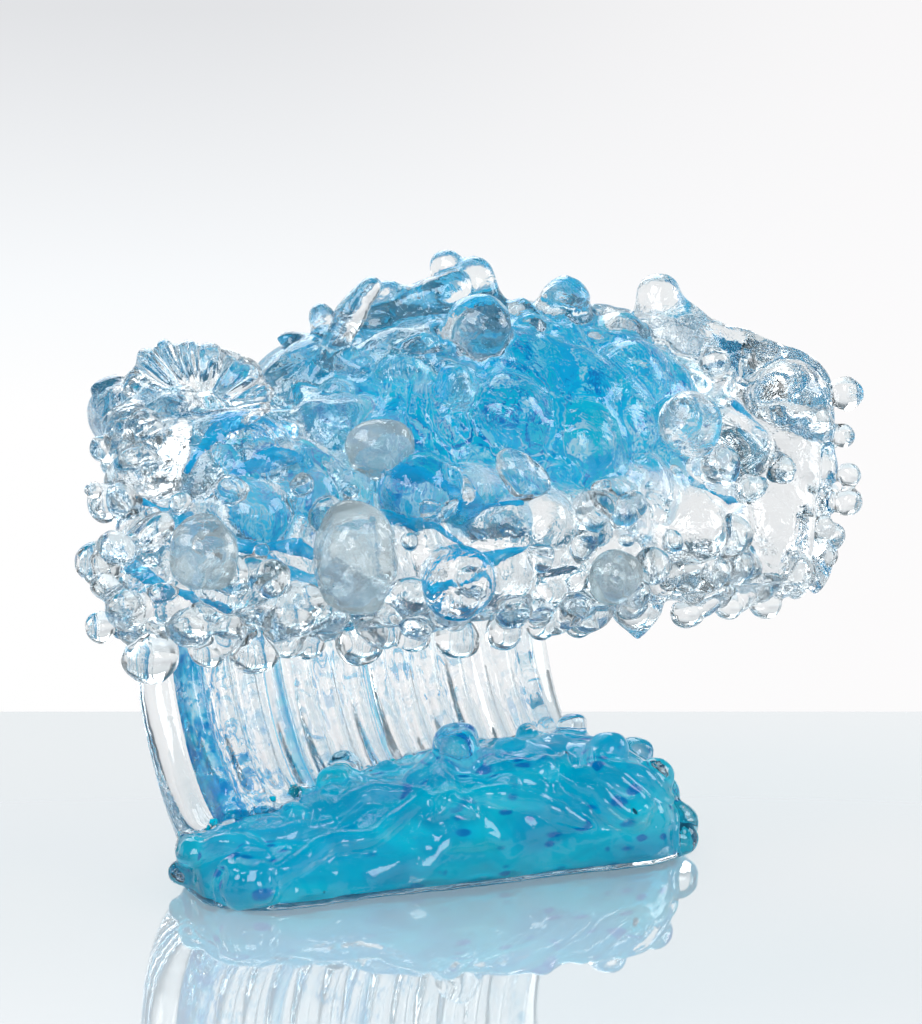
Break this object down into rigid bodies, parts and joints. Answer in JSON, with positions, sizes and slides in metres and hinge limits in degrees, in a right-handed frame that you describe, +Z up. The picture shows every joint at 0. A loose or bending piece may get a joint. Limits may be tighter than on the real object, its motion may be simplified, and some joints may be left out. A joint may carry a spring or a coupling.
{
  "type": "glass wave sculpture",
  "caption": "Free-standing hot-worked glass wave: an aqua pool, a ribbed wall that curls forward, and a foaming clear crest of mounds, drops and beads.",
  "frame": {"origin": "middle of the ground foot, on the surface that it stands on", "axes": "+Z up, the wave breaks towards -Y, its length runs along X"},
  "size_m": [0.2704, 0.1732, 0.2069],
  "materials": {
    "clear_glass": "fire-polished clear glass",
    "frosted_glass": "clear glass clouded by small bubbles",
    "aqua_glass": "aqua glass with cobalt specks, fire-polished",
    "speckled_glass": "clear glass streaked with blue frit"
  },
  "bodies": {
    "root": {"crest": "clear_glass", "crest_sheet": "speckled_glass", "cup_drop": "clear_glass", "end_ball": "clear_glass", "end_bulb": "clear_glass", "end_splash": "aqua_glass", "face_beads": "clear_glass", "face_curl": "clear_glass", "face_drip": "clear_glass", "folded_cone": "clear_glass", "foot_drop": "clear_glass", "frosted_ball": "frosted_glass", "frosted_nub": "frosted_glass", "great_drop": "frosted_glass", "leaning_band": "clear_glass", "left_ball": "frosted_glass", "left_end_beads": "clear_glass", "left_fan": "clear_glass", "left_mounds": "clear_glass", "left_rim_beads": "clear_glass", "left_splash": "aqua_glass", "lens_drop": "clear_glass", "looped_finger": "clear_glass", "middle_mounds": "clear_glass", "middle_rim_beads": "clear_glass", "pool": "aqua_glass", "pool_beads": "clear_glass", "right_ball": "clear_glass", "right_curtain": "frosted_glass", "right_end_beads": "clear_glass", "right_finger": "clear_glass", "right_mounds": "clear_glass", "right_rim_beads": "clear_glass", "right_splash": "aqua_glass", "rim_drip": "clear_glass", "shoulder_ball": "clear_glass", "small_ball": "clear_glass", "summit_ball": "clear_glass", "summit_knob": "clear_glass", "summit_peak": "clear_glass", "tall_splash": "aqua_glass", "wall_casing": "clear_glass", "wall_sheet": "speckled_glass"}
  },
  "joints": []
}
